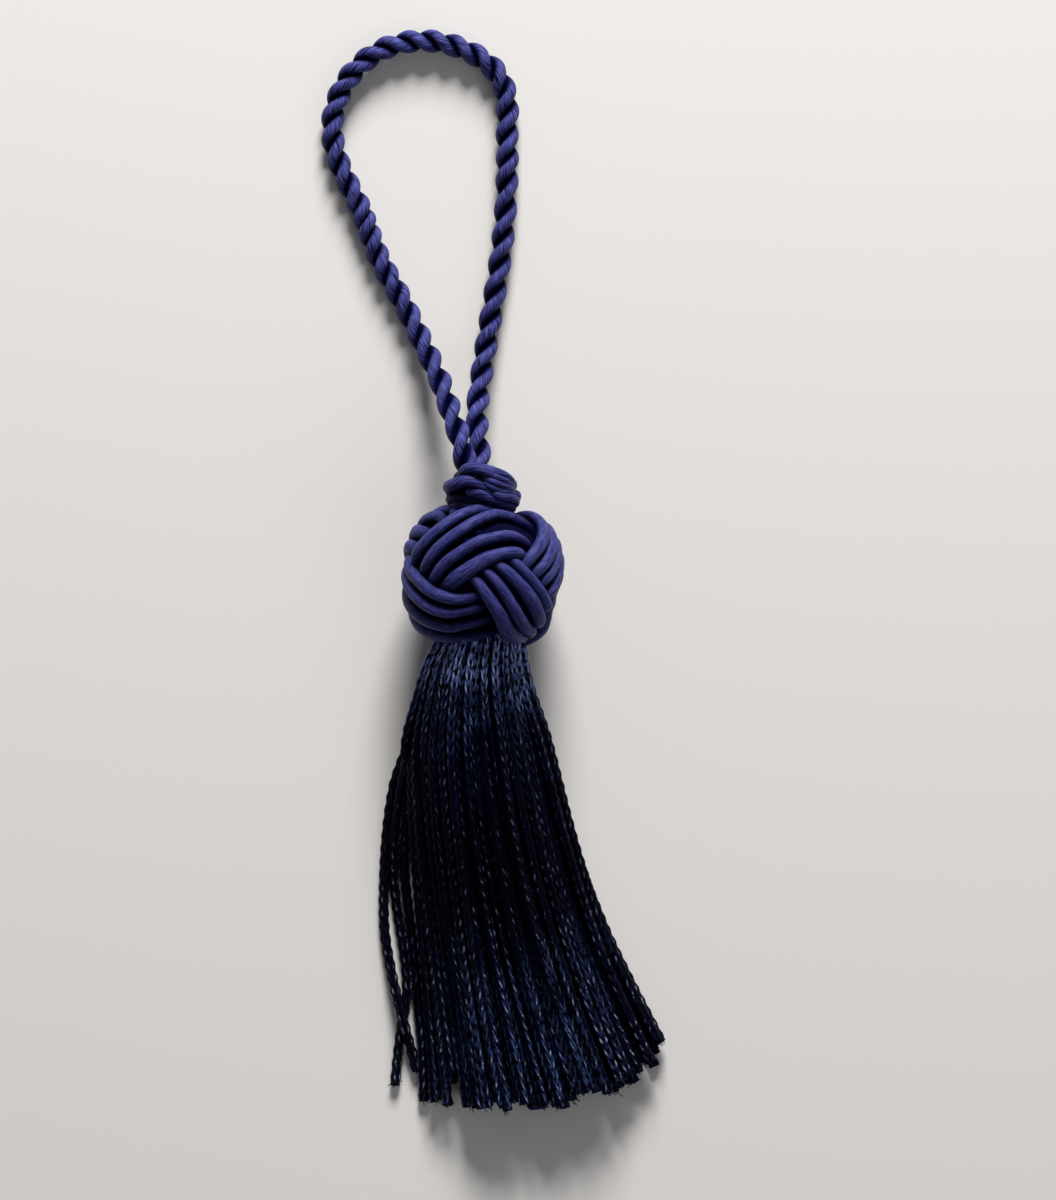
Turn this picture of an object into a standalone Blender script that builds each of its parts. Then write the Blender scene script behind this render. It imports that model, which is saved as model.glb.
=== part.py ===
"""A small chainette tassel, lying on its back on a surface.

Four pieces, as a trimmings maker would make them: a twisted cord loop, the neck knot that its two legs
are tied in, a round Turk's head knot as the head, and a skirt of cut strands whose bound root is held in
the head.

Metres, +Z up. The tassel lies along Y: the loop at +Y, the skirt at -Y. The origin is on the surface, under
the middle of the head, where its small flat foot rests.
"""

import math

import bmesh
import bpy
import numpy as np
from mathutils import Matrix, Vector

MM = 0.001

# Clearance between neighbouring pieces.
GAP = 0.3 * MM

# Turk's head: a squarish ball, 3 leads by 4 bights, each band 4 cords wide.
HEAD_HALF_WIDTH = 8.2 * MM
HEAD_HALF_HEIGHT = 7.5 * MM
HEAD_HALF_DEPTH = 7.6 * MM
HEAD_SQUARENESS = 2.6
HEAD_DETAIL = 5
FOOT_DEPTH = 0.4 * MM
FOOT_CONE = 0.40
SEAT_CONE = 0.40
LEADS = 3
BIGHTS = 4
PASSES = 4
PASS_SPACING = 1.7 * MM
STEEP_SPREAD = 0.7 * MM
HEAD_CORD = 1.3 * MM
WEAVE_LIFT = 0.3 * MM
CORE_DEPTH = 1.0 * MM
FRONT_BIGHT = math.radians(11.5)
BIGHT_LATITUDE = math.radians(43.5)
WEAVE_LEAN = 0.24
WEAVE_SHEAR = 0.22
WEAVE_PULL = 0.33
WEAVE_SAG = -0.33
FRONT_GAP = 0.8 * MM
FRONT_GAP_AT = 0.07
FRONT_GAP_REACH = 0.31
WEAVE_STEPS = 480

# Where the skirt's bound root and the neck knot are seated in the head.
SOCKET_RADIUS = 5.3 * MM
SOCKET_TOP = -4.9 * MM
NECK_SEAT = 6.95 * MM

# Neck knot: a lump of three slanting wraps.
NECK_HALF = Vector((3.85, 2.35, 2.7)) * MM
NECK_LEFT = -0.15 * MM
NECK_ABOVE_SEAT = 1.75 * MM
NECK_SQUARENESS = 3.0
NECK_WRAP_PITCH = 1.55 * MM
NECK_WRAP_RELIEF = 0.09

# Hanging loop: a 2-ply cord with a Z twist.
CORD_DIAMETER = 2.35 * MM
PLY_WAIST = 0.42
TWIST_PITCH = 5.0 * MM
STEPS_PER_TWIST = 8

# Skirt: chainette strands, thinner where they are bound.
STRAND = 0.62 * MM
STRAND_AT_ROOT = 0.54 * MM
ROOT_RADIUS = 4.7 * MM
ROOT_TOP = SOCKET_TOP - GAP
ROOT_THICKNESS = 0.9 * MM
ROOT_COLUMN = 0.40 * MM
ROOT_ROW = 0.71 * MM
SKIRT_LENGTH = 47.2 * MM
SHORT_SIDE = 7.0 * MM
UNEVEN_TIPS = 0.5 * MM
STRAY_FROM = 4
SETTLED_FROM = 0.30
LEVEL_FROM = 0.50
BONDED_FROM = 0.74
SEED = 11

# The route of the loop's centreline, from the left leg round to the right leg: x, y and height in mm.
LOOP_ROUTE_MM = [
    (-1.8, 11.7, 8.1), (-2.1, 13.2, 7.8), (-2.7, 15.1, 6.9), (-3.4, 17.1, 5.6), (-4.2, 19.4, 4.1),
    (-5.1, 21.5, 2.9), (-6.2, 23.8, 1.9), (-7.3, 26.1, 1.4), (-8.8, 29.0, 1.2), (-10.3, 31.7, 1.2),
    (-11.4, 34.5, 1.2), (-12.4, 37.2, 1.2), (-13.9, 40.2, 1.2), (-15.0, 43.3, 1.2), (-15.1, 46.5, 1.2),
    (-13.6, 50.2, 1.2), (-10.4, 53.0, 1.2), (-6.0, 54.0, 1.2), (-1.9, 53.1, 1.2), (1.0, 51.2, 1.2),
    (2.3, 48.6, 1.2), (2.4, 44.6, 1.2), (2.4, 40.5, 1.2), (2.2, 36.5, 1.2), (1.8, 32.6, 1.2),
    (1.2, 28.8, 1.2), (0.6, 25.2, 1.3), (0.1, 22.0, 1.7), (-0.3, 19.2, 2.6), (-0.6, 16.6, 4.0),
    (-0.5, 14.0, 5.4), (-0.3, 11.7, 6.0),
]

# The skirt's cross section down its length: how far down, its left and right edges, its thickness, in mm.
SECTION_COLUMNS = ("share", "left", "right", "thick")
SKIRT_SECTIONS = [
    (0.00, -4.7, 4.6, 9.3),
    (0.12, -6.2, 5.0, 9.6),
    (0.26, -7.6, 6.5, 9.2),
    (0.42, -8.4, 8.0, 8.0),
    (0.60, -8.3, 10.4, 6.8),
    (0.80, -7.2, 13.7, 5.9),
    (1.00, -6.9, 17.9, 5.2),
]

# Two strands that have come away at the left and cross on the surface: x, y and height in mm.
STRAY_ROUTES_MM = [
    [(-8.7, -20.5, 0.9), (-9.8, -25.5, 0.31), (-10.15, -31.0, 0.31), (-10.05, -35.5, 0.31),
     (-9.5, -38.8, 0.6), (-8.6, -42.6, 1.25), (-7.8, -45.6, 1.2), (-7.1, -48.2, 0.5), (-6.8, -49.8, 0.31)],
    [(-8.0, -20.5, 2.4), (-8.6, -25.0, 1.2), (-8.85, -29.5, 0.5), (-8.65, -34.0, 0.31),
     (-8.1, -38.5, 0.31), (-8.0, -41.5, 0.31), (-8.35, -44.8, 0.31), (-8.9, -51.2, 0.31)],
]


def clear_scene():
    for thing in list(bpy.data.objects):
        bpy.data.objects.remove(thing, do_unlink=True)


def collection_named(name):
    collection = bpy.data.collections.new(name)
    bpy.context.scene.collection.children.link(collection)
    return collection


def material_named(name, colour, roughness):
    material = bpy.data.materials.new(name)
    material.use_nodes = True
    shader = material.node_tree.nodes["Principled BSDF"]
    shader.inputs["Base Color"].default_value = (*colour, 1.0)
    shader.inputs["Roughness"].default_value = roughness
    shader.inputs["Metallic"].default_value = 0.0
    return material


def object_from_bmesh(name, bm, collection, material=None):
    bmesh.ops.recalc_face_normals(bm, faces=bm.faces)
    mesh = bpy.data.meshes.new(name)
    bm.to_mesh(mesh)
    bm.free()
    mesh.shade_smooth()
    mesh.set_sharp_from_angle(angle=math.radians(50))
    made = bpy.data.objects.new(name, mesh)
    collection.objects.link(made)
    if material:
        mesh.materials.append(material)
    return made


def hide_as_guide(guide):
    guide.hide_render = True
    guide.display_type = "WIRE"


def smooth_route(points, spacing):
    """Evenly spaced points on a smooth curve through the given ones (centripetal Catmull-Rom)."""
    given = [np.array(p, float) for p in points]
    padded = [2 * given[0] - given[1], *given, 2 * given[-1] - given[-2]]
    dense = []
    for a, b, c, d in zip(padded, padded[1:], padded[2:], padded[3:]):
        knots = np.cumsum([0.0, *(np.linalg.norm(q - p) ** 0.5 for p, q in ((a, b), (b, c), (c, d)))])
        for t in np.linspace(knots[1], knots[2], 24, endpoint=False):
            level = [a, b, c, d]
            for width in (1, 2, 3):
                low, high = knots[:-width], knots[width:]
                level = [
                    ((high[i] - t) * level[i] + (t - low[i]) * level[i + 1]) / (high[i] - low[i])
                    for i in range(len(level) - 1)
                ]
            dense.append(level[0])
    dense = np.array([*dense, given[-1]])
    along = np.concatenate([[0], np.cumsum(np.linalg.norm(np.diff(dense, axis=0), axis=1))])
    stations = np.linspace(0, along[-1], round(along[-1] / spacing) + 1)
    return np.stack([np.interp(stations, along, dense[:, axis]) for axis in range(3)], axis=1)


# ---------------------------------------------------------------- Turk's head


def head_surface(direction):
    """How far the squarish ball reaches along unit directions, as a share of its half sizes."""
    across = np.hypot(direction[:, 0], direction[:, 2])
    up = np.abs(direction[:, 1])
    return (across**HEAD_SQUARENESS + up**HEAD_SQUARENESS) ** (-1 / HEAD_SQUARENESS)


def cord_route(turn, number):
    """Unit directions along one of the cords laid side by side, for turns of the knot from 0 to 2 pi.

    The cords are further apart where they run steeply, and a gap opens in the middle of the front bight.
    """
    longitude = LEADS * turn + FRONT_BIGHT
    beside = number - (PASSES - 1) / 2
    spread = beside * (PASS_SPACING + STEEP_SPREAD * np.sin(BIGHTS * turn) ** 2)
    from_gap = (turn - FRONT_GAP_AT + math.pi) % (2 * math.pi) - math.pi
    gap = FRONT_GAP * np.exp(-((from_gap / FRONT_GAP_REACH) ** 2)) * math.copysign(1, beside)
    latitude = BIGHT_LATITUDE * np.cos(BIGHTS * turn) + (spread + gap) / HEAD_HALF_HEIGHT
    pulled = longitude + WEAVE_SHEAR * latitude + WEAVE_PULL * np.cos(longitude)
    latitude = latitude + WEAVE_SAG * np.sin(longitude)
    level = np.cos(latitude)
    plain = np.stack([level * np.sin(pulled), np.sin(latitude), level * np.cos(pulled)], axis=1)
    lean = np.array(Matrix.Rotation(WEAVE_LEAN, 3, "Z"))
    return plain @ lean.T


def woven_cords():
    """Unit directions and heights along all the cords, over and under by turns."""
    turn = np.linspace(0, 2 * math.pi, WEAVE_STEPS, endpoint=False)
    height = -WEAVE_LIFT * np.sin(2 * BIGHTS * turn)
    cords = [cord_route(turn, number) for number in range(PASSES)]
    return np.concatenate(cords), np.tile(height, PASSES)


def build_head(collection, cutters, material):
    half = np.array([HEAD_HALF_WIDTH, HEAD_HALF_HEIGHT, HEAD_HALF_DEPTH])
    bm = bmesh.new()
    bmesh.ops.create_icosphere(bm, subdivisions=HEAD_DETAIL, radius=1.0)
    direction = np.array([v.co.normalized() for v in bm.verts])
    cords, lift = woven_cords()
    apart = np.arccos(np.clip(direction @ cords.T, -1, 1)) * HEAD_HALF_DEPTH
    radius = HEAD_CORD / 2
    crest = lift[None, :] + np.sqrt(np.clip(radius**2 - apart**2, 0, None)) - radius - WEAVE_LIFT
    crest = np.where(apart < radius, crest, -CORE_DEPTH).max(axis=1)
    filled = (direction[:, 2] < -math.cos(FOOT_CONE)) | (direction[:, 1] > math.cos(SEAT_CONE))
    crest = np.where(filled, 0.0, crest)
    reach = head_surface(direction)[:, None] * direction * half
    reach *= (1 + crest / np.linalg.norm(reach, axis=1))[:, None]
    centre = Vector((0, 0, HEAD_HALF_DEPTH - FOOT_DEPTH))
    for vert, place in zip(bm.verts, reach):
        vert.co = centre + Vector(place)
    cut_flat(bm, Vector((0, 0, 0)), Vector((0, 0, -1)))
    cut_flat(bm, Vector((0, NECK_SEAT, 0)), Vector((0, 1, 0)))
    head = object_from_bmesh("turks_head", bm, collection, material)
    socket = bmesh.new()
    length = 2 * HEAD_HALF_HEIGHT
    lay_along_y = Matrix.Rotation(math.pi / 2, 4, "X")
    place = Matrix.Translation((0, SOCKET_TOP - length / 2, centre.z)) @ lay_along_y
    bmesh.ops.create_cone(
        socket, cap_ends=True, segments=40, radius1=SOCKET_RADIUS, radius2=SOCKET_RADIUS,
        depth=length, matrix=place,
    )
    cutter = object_from_bmesh("socket_cutter", socket, cutters)
    hide_as_guide(cutter)
    cut = head.modifiers.new("socket", "BOOLEAN")
    cut.operation = "DIFFERENCE"
    cut.object = cutter
    return centre


def cut_flat(bm, point, outward):
    """Slices off what lies past a plane, and closes the cut with a flat face."""
    every = bm.verts[:] + bm.edges[:] + bm.faces[:]
    cut = bmesh.ops.bisect_plane(bm, geom=every, plane_co=point, plane_no=outward, clear_outer=True)
    rim = [part for part in cut["geom_cut"] if isinstance(part, bmesh.types.BMEdge)]
    bmesh.ops.contextual_create(bm, geom=rim)


# ------------------------------------------------------------------ neck knot


def build_neck(collection, material, height):
    bm = bmesh.new()
    bmesh.ops.create_uvsphere(bm, u_segments=28, v_segments=16, radius=1.0)
    bmesh.ops.rotate(bm, verts=bm.verts, matrix=Matrix.Rotation(math.pi / 2, 3, "X"))
    middle = Vector((NECK_LEFT, NECK_SEAT + GAP + NECK_ABOVE_SEAT, height))
    for vert in bm.verts:
        round_it = math.atan2(vert.co.x, vert.co.z)
        up = vert.co.y * NECK_HALF.y
        across = math.hypot(vert.co.x, vert.co.z)
        fuller = (1 - abs(vert.co.y) ** NECK_SQUARENESS) ** (1 / NECK_SQUARENESS) / max(across, 0.01)
        wrap = math.cos(2 * math.pi * up / NECK_WRAP_PITCH + round_it)
        swell = fuller * (1 + NECK_WRAP_RELIEF * wrap)
        vert.co = middle + Vector((vert.co.x * NECK_HALF.x * swell, up, vert.co.z * NECK_HALF.z * swell))
    cut_flat(bm, Vector((0, NECK_SEAT + GAP, 0)), Vector((0, -1, 0)))
    object_from_bmesh("neck_knot", bm, collection, material)


# --------------------------------------------------------------- hanging loop


def ply_outline(cutters):
    """The cord's section: two round plies side by side, as one outline."""
    reach = CORD_DIAMETER / 2
    ply = reach / 2
    outline = []
    for side in (1, -1):
        for degrees in (100, 55, 0, -55, -100):
            angle = math.radians(degrees)
            outline.append((side * (ply + ply * math.cos(angle)), side * ply * math.sin(angle)))
    waist = PLY_WAIST * ply
    outline = [(x, math.copysign(max(abs(y), waist), y) if abs(x) < ply else y) for x, y in outline]
    curve = bpy.data.curves.new("ply_outline", "CURVE")
    curve.dimensions = "2D"
    spline = curve.splines.new("POLY")
    spline.points.add(len(outline) - 1)
    spline.use_cyclic_u = True
    for point, (x, y) in zip(spline.points, outline):
        point.co = (x, y, 0, 1)
    guide = bpy.data.objects.new("ply_outline", curve)
    cutters.objects.link(guide)
    hide_as_guide(guide)
    return guide


def build_loop(collection, cutters, material):
    step = TWIST_PITCH / STEPS_PER_TWIST
    route = smooth_route(np.array(LOOP_ROUTE_MM) * MM, step)
    curve = bpy.data.curves.new("hanging_loop", "CURVE")
    curve.dimensions = "3D"
    curve.bevel_mode = "OBJECT"
    curve.bevel_object = ply_outline(cutters)
    curve.use_fill_caps = True
    curve.twist_mode = "Z_UP"
    spline = curve.splines.new("POLY")
    spline.points.add(len(route) - 1)
    for number, (point, place) in enumerate(zip(spline.points, route)):
        point.co = (*place, 1)
        point.tilt = 2 * math.pi * number / STEPS_PER_TWIST
    curve.materials.append(material)
    loop = bpy.data.objects.new("hanging_loop", curve)
    collection.objects.link(loop)


# ---------------------------------------------------------------------- skirt


def section_at(share):
    """The skirt's cross section at a share of its length, in metres."""
    table = np.array(SKIRT_SECTIONS)
    row = {name: np.interp(share, table[:, 0], table[:, k]) for k, name in enumerate(SECTION_COLUMNS)}
    return {name: value * (1 if name == "share" else MM) for name, value in row.items()}


def strand_roots():
    """Where the strands are bound, in staggered columns: (across, up) as shares of the root's radius."""
    roots = []
    reach = ROOT_RADIUS - STRAND_AT_ROOT / 2
    columns = int(reach / ROOT_COLUMN)
    for column in range(-columns, columns + 1):
        rows = int(reach / ROOT_ROW) + 1
        for row in range(-rows, rows + 1):
            if (row + column) % 2:
                continue
            across, up = column * ROOT_COLUMN, row * ROOT_ROW
            if math.hypot(across, up) < reach:
                roots.append((column, across / ROOT_RADIUS, up / ROOT_RADIUS))
    return sorted(roots)


def eased(share, start, end):
    t = min(max((share - start) / (end - start), 0.0), 1.0)
    return t * t * (3 - 2 * t)


def strand_route(across, up, lowest_up, head_height, longer):
    """The points down one strand: out of the root, down on the surface and along it.

    Past where the strands lie level, every other layer moves over by half a column, as bricks are laid.
    """
    route = []
    layer = round((up - lowest_up) * ROOT_RADIUS / (2 * ROOT_ROW))
    moved = (layer % 2) * ROOT_COLUMN / ROOT_RADIUS
    length = SKIRT_LENGTH - SHORT_SIDE * max(0.0, (across - 0.15) / 0.85) ** 2 + longer
    dome = math.sqrt(max(0.0, 1 - across**2))
    for share in (0.0, 0.06, 0.14, 0.24, 0.36, 0.52, 0.74, 1.0):
        section = section_at(share)
        column = across + moved * eased(share, LEVEL_FROM, BONDED_FROM) / 2
        x = section["left"] + (section["right"] - section["left"]) * (column + 1) / 2
        hanging = head_height + up * section["thick"] / 2
        above = up - lowest_up + (lowest_up + dome) * (1 - eased(share, SETTLED_FROM, LEVEL_FROM))
        lying = STRAND / 2 + above * section["thick"] / 2
        fallen = eased(share, 0.0, SETTLED_FROM)
        z = hanging + (lying - hanging) * fallen
        route.append((x, ROOT_TOP - ROOT_THICKNESS / 2 - length * share, z))
    return route


def add_strand(curve, route, thin_until=2):
    spline = curve.splines.new("POLY")
    spline.points.add(len(route) - 1)
    for number, (point, place) in enumerate(zip(spline.points, route)):
        point.co = (*place, 1)
        point.tilt = math.pi / 4
        point.radius = STRAND_AT_ROOT / STRAND if number < thin_until else 1.0


def build_skirt(collection, cutters, material, head_height):
    rng = np.random.default_rng(SEED)
    curve = bpy.data.curves.new("strands", "CURVE")
    curve.dimensions = "3D"
    curve.bevel_depth = STRAND / math.sqrt(2)
    curve.bevel_resolution = 0
    curve.use_fill_caps = True
    curve.twist_mode = "Z_UP"
    roots = strand_roots()
    for number, (column, across, up) in enumerate(roots):
        lowest = min(u for c, _, u in roots if c == column)
        longer = rng.uniform(-1, 1) * UNEVEN_TIPS
        route = strand_route(across, up, lowest, head_height, longer)
        if number < len(STRAY_ROUTES_MM):
            route = route[:STRAY_FROM] + [Vector(p) * MM for p in STRAY_ROUTES_MM[number]]
        add_strand(curve, route)
    strands = bpy.data.objects.new("strands", curve)
    cutters.objects.link(strands)
    mesh = bpy.data.meshes.new_from_object(strands.evaluated_get(bpy.context.evaluated_depsgraph_get()))
    bpy.data.objects.remove(strands)
    bm = bmesh.new()
    bm.from_mesh(mesh)
    bmesh.ops.remove_doubles(bm, verts=bm.verts, dist=0.00001)
    strands = object_from_bmesh("strands", bm, cutters)
    hide_as_guide(strands)
    root = bmesh.new()
    lay_along_y = Matrix.Rotation(math.pi / 2, 4, "X")
    place = Matrix.Translation((0, ROOT_TOP - ROOT_THICKNESS / 2, head_height)) @ lay_along_y
    bmesh.ops.create_cone(
        root, cap_ends=True, segments=32, radius1=ROOT_RADIUS + GAP, radius2=ROOT_RADIUS + GAP,
        depth=ROOT_THICKNESS, matrix=place,
    )
    skirt = object_from_bmesh("skirt", root, collection, material)
    fuse = skirt.modifiers.new("strands", "BOOLEAN")
    fuse.operation = "UNION"
    fuse.object = strands
    print("strands", len(roots))


def main():
    clear_scene()
    tassel = collection_named("tassel")
    cutters = collection_named("cutters")
    satin = material_named("satin_cord", (0.025, 0.028, 0.15), 0.38)
    twisted = material_named("twisted_cord", (0.028, 0.034, 0.16), 0.45)
    chainette = material_named("chainette", (0.008, 0.011, 0.04), 0.5)
    centre = build_head(tassel, cutters, satin)
    build_neck(tassel, satin, centre.z)
    build_loop(tassel, cutters, twisted)
    build_skirt(tassel, cutters, chainette, centre.z)


main()
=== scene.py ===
# %% [markdown]
# # A chainette tassel
#
# A tassel is made of soft things only: a twisted cord loop, a knot that its two legs are tied in, a round
# woven knot as the head, and a skirt of cut chain-stitch strands. The plain solids of all four are loaded
# first, as a fixed frame, and each is then replaced by yarns and cords laid where the solid lies.
# The tassel lies on its back along Y, with the loop at +Y, and the floor is at z = 0.

# %% Load the frame
import math

import bmesh
import bpy
import numpy as np
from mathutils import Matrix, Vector


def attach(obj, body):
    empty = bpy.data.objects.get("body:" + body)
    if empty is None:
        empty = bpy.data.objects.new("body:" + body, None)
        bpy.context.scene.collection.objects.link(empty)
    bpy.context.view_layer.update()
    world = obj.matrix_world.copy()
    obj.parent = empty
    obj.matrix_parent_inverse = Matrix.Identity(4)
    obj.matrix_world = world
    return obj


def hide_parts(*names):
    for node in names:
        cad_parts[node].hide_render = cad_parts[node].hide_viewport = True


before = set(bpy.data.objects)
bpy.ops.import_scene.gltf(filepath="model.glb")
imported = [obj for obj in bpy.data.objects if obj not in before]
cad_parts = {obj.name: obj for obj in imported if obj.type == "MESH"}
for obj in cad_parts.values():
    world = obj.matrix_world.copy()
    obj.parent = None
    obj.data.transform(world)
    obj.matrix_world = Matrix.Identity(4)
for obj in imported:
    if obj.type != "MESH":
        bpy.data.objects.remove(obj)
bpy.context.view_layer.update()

MM = 0.001
TURN = 2 * math.pi

# %% [markdown]
# ## The camera
#
# A small thing laid flat is best shown from straight above with a long lens, so that its near and far ends
# keep the same scale. The lens follows from the eye's height and from how long a strip it is to take in.

# %% Camera
EYE_HEIGHT = 0.75
AIM_AT = Vector((4.5, -2.3, 6.0)) * MM
FRAMED_HEIGHT = 120.0 * MM
SENSOR = 36.0


def add_object(name, data):
    """Puts a camera, a light or a mesh in the scene, at the origin."""
    made = bpy.data.objects.new(name, data)
    bpy.context.scene.collection.objects.link(made)
    return made


def make_camera():
    data = bpy.data.cameras.new("camera")
    data.sensor_width = SENSOR
    data.lens = SENSOR * (EYE_HEIGHT - AIM_AT.z) / FRAMED_HEIGHT
    data.clip_start = 0.01
    camera = add_object("camera", data)
    camera.location = (AIM_AT.x, AIM_AT.y, EYE_HEIGHT)
    bpy.context.scene.camera = camera
    return camera


camera = make_camera()
print("lens in mm:", round(camera.data.lens, 1))

# %% [markdown]
# ## Sleeves: the one shape that every yarn shares
#
# A cord, a ply and a strand are all tubes that follow a line. A flat grid, made with its UV map, is rolled
# up into a straight sleeve and welded at its seam, so u runs round the yarn and v along it. Each yarn starts
# as such a sleeve, whose rings are then moved onto the yarn's own line. Rolling a grid keeps the UV seam
# clean, which a bevelled curve doesn't, and yarns that are alike can share one sleeve.


# %% Sleeves
def mesh_from(bm, name):
    mesh = bpy.data.meshes.new(name)
    bm.to_mesh(mesh)
    bm.free()
    return mesh


def make_sleeve(rings, sides, is_ring=False):
    """A straight tube, or a closed ring, with each point's ring number and its share of a turn round it."""
    bm = bmesh.new()
    bm.loops.layers.uv.new("UVMap")
    bmesh.ops.create_grid(bm, x_segments=sides, y_segments=rings, size=0.5, calc_uvs=True)
    ring_of = bm.verts.layers.int.new("ring")
    round_of = bm.verts.layers.float.new("round")
    for vert in bm.verts:
        ring = round((vert.co.y + 0.5) * rings)
        side = round((vert.co.x + 0.5) * sides)
        vert[ring_of] = ring % rings if is_ring else ring
        vert[round_of] = (side % sides) / sides
        turn = TURN * vert[round_of]
        if is_ring:
            # Rolled up both ways, so that its first and last rings are welded too.
            out = 2 + math.cos(turn)
            along = TURN * vert[ring_of] / rings
            vert.co = (out * math.cos(along), out * math.sin(along), math.sin(turn))
        else:
            vert.co = (math.cos(turn), ring, math.sin(turn))
    bmesh.ops.remove_doubles(bm, verts=bm.verts, dist=0.0001)
    bmesh.ops.holes_fill(bm, edges=[edge for edge in bm.edges if edge.is_boundary], sides=0)
    mesh = mesh_from(bm, "sleeve")
    return {
        "mesh": mesh,
        "rings": rings,
        "ring": np.array([item.value for item in mesh.attributes["ring"].data]),
        "round": np.array([item.value for item in mesh.attributes["round"].data]),
    }


# %% A sleeve on its line
UPWARD = np.array([0, 0, 1.0])


def unit(vectors):
    return vectors / np.linalg.norm(vectors, axis=-1, keepdims=True)


def tangents(line, is_ring=False):
    if is_ring:
        return unit(np.roll(line, -1, axis=0) - np.roll(line, 1, axis=0))
    return unit(np.gradient(line, axis=0))


def along_line(line):
    """How far along a line each of its points is."""
    return np.concatenate([[0], np.cumsum(np.linalg.norm(np.diff(line, axis=0), axis=1))])


def place_on(sleeve, line, up, wide, high, swell=1.0, is_ring=False):
    """Where a sleeve's points go: rings centred on the line, wide across it and high along up."""
    ahead = tangents(line, is_ring)
    up = unit(up - (up * ahead).sum(axis=1, keepdims=True) * ahead)
    side = np.cross(ahead, up)
    ring, turn = sleeve["ring"], TURN * sleeve["round"]
    wide = np.broadcast_to(wide, len(line))[ring] * swell
    high = np.broadcast_to(high, len(line))[ring] * swell
    # The seam, where a turn starts, is put underneath.
    across, raised = (wide * np.sin(turn))[:, None], -(high * np.cos(turn))[:, None]
    return line[ring] + side[ring] * across + up[ring] * raised


def make_yarn(sleeve, points, line, wide, high, **tints):
    """A placed sleeve, with its size round and along in mm, for its UV map, and values for its colour."""
    size = (math.pi * (wide + high) / MM, along_line(line)[-1] / MM)
    return {"sleeve": sleeve, "points": points, "line": line, "mm": size, "tints": tints}


# %% Many sleeves in one piece
def piece_of_sleeves(name, yarns, material, body="root"):
    """Joins yarns into one object."""
    bm = bmesh.new()
    for yarn in yarns:
        bm.from_mesh(yarn["sleeve"]["mesh"])
    mesh = mesh_from(bm, name)
    points = np.concatenate([yarn["points"] for yarn in yarns]).astype(np.float32)
    mesh.vertices.foreach_set("co", points.ravel())
    layer = mesh.uv_layers["UVMap"].data
    uv = np.empty(len(layer) * 2, dtype=np.float32)
    layer.foreach_get("uv", uv)
    sizes = [np.tile(yarn["mm"], (len(yarn["sleeve"]["mesh"].loops), 1)) for yarn in yarns]
    layer.foreach_set("uv", (uv.reshape(-1, 2) * np.concatenate(sizes)).astype(np.float32).ravel())
    for tint in yarns[0]["tints"]:
        values = [np.broadcast_to(yarn["tints"][tint], len(yarn["points"])) for yarn in yarns]
        attribute = mesh.attributes.new(tint, "FLOAT", "POINT")
        attribute.data.foreach_set("value", np.concatenate(values).astype(np.float32))
    for spare in ("ring", "round"):
        mesh.attributes.remove(mesh.attributes[spare])
    bm = bmesh.new()
    bm.from_mesh(mesh)
    bmesh.ops.recalc_face_normals(bm, faces=bm.faces)
    bm.to_mesh(mesh)
    bm.free()
    mesh.shade_smooth()
    mesh.materials.append(material)
    piece = add_object(name, mesh)
    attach(piece, body)
    triangles = sum(len(face.vertices) - 2 for face in mesh.polygons)
    print(name, "yarns:", len(yarns), "triangles:", triangles)
    return piece


# %% Routes and tables
STEPS_A_SPAN = 24


def columns(rows, names):
    """A table's columns by name, each as an array."""
    return dict(zip(names, np.array(rows, float).T))


def smooth_route(points, spacing):
    """Evenly spaced points, in metres, on a smooth curve through points in mm (centripetal Catmull-Rom)."""
    given = [np.array(p, float) * MM for p in points]
    padded = [2 * given[0] - given[1], *given, 2 * given[-1] - given[-2]]
    dense = []
    for a, b, c, d in zip(padded, padded[1:], padded[2:], padded[3:]):
        knots = np.cumsum([0.0, *(np.linalg.norm(q - p) ** 0.5 for p, q in ((a, b), (b, c), (c, d)))])
        for t in np.linspace(knots[1], knots[2], STEPS_A_SPAN, endpoint=False):
            level = [a, b, c, d]
            for width in (1, 2, 3):
                low, high = knots[:-width], knots[width:]
                level = [
                    ((high[i] - t) * level[i] + (t - low[i]) * level[i + 1]) / (high[i] - low[i])
                    for i in range(len(level) - 1)
                ]
            dense.append(level[0])
    dense = np.array([*dense, given[-1]])
    along = along_line(dense)
    stations = np.linspace(0, along[-1], round(along[-1] / spacing) + 1)
    return np.stack([np.interp(stations, along, dense[:, axis]) for axis in range(3)], axis=1)


# %% [markdown]
# ## Materials
#
# All of it is rayon, a fibre as bright as silk. Colours are written as sRGB hex, as a dyer's card gives
# them, and turned to the linear values that the renderer adds up. One function adds any node. Patterns
# read the UV map, which is in millimetres, so a filament's width is a real size.


# %% Colour and node helpers
def linear(hex_colour):
    """An sRGB hex colour as linear red, green, blue and alpha."""
    parts = [int(hex_colour[i : i + 2], 16) / 255 for i in (1, 3, 5)]
    return (*(p / 12.92 if p <= 0.04045 else ((p + 0.055) / 1.055) ** 2.4 for p in parts), 1.0)


def new_material(name, roughness, **shader_settings):
    material = bpy.data.materials.new(name)
    material.use_nodes = True
    shader = material.node_tree.nodes["Principled BSDF"]
    shader.inputs["Roughness"].default_value = roughness
    for socket, value in shader_settings.items():
        shader.inputs[socket.replace("_", " ")].default_value = value
    print("material:", name)
    return material


def add_node(material, kind, inputs, out=0, **settings):
    """Adds a node and gives back one output. An input is a number, a hex colour or another node's output."""
    tree = material.node_tree
    node = tree.nodes.new("ShaderNode" + kind)
    for name, value in settings.items():
        setattr(node, name, value)
    for socket, value in inputs.items():
        if isinstance(value, bpy.types.NodeSocket):
            tree.links.new(value, node.inputs[socket])
        else:
            node.inputs[socket].default_value = linear(value) if isinstance(value, str) else value
    return node.outputs[out]


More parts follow.
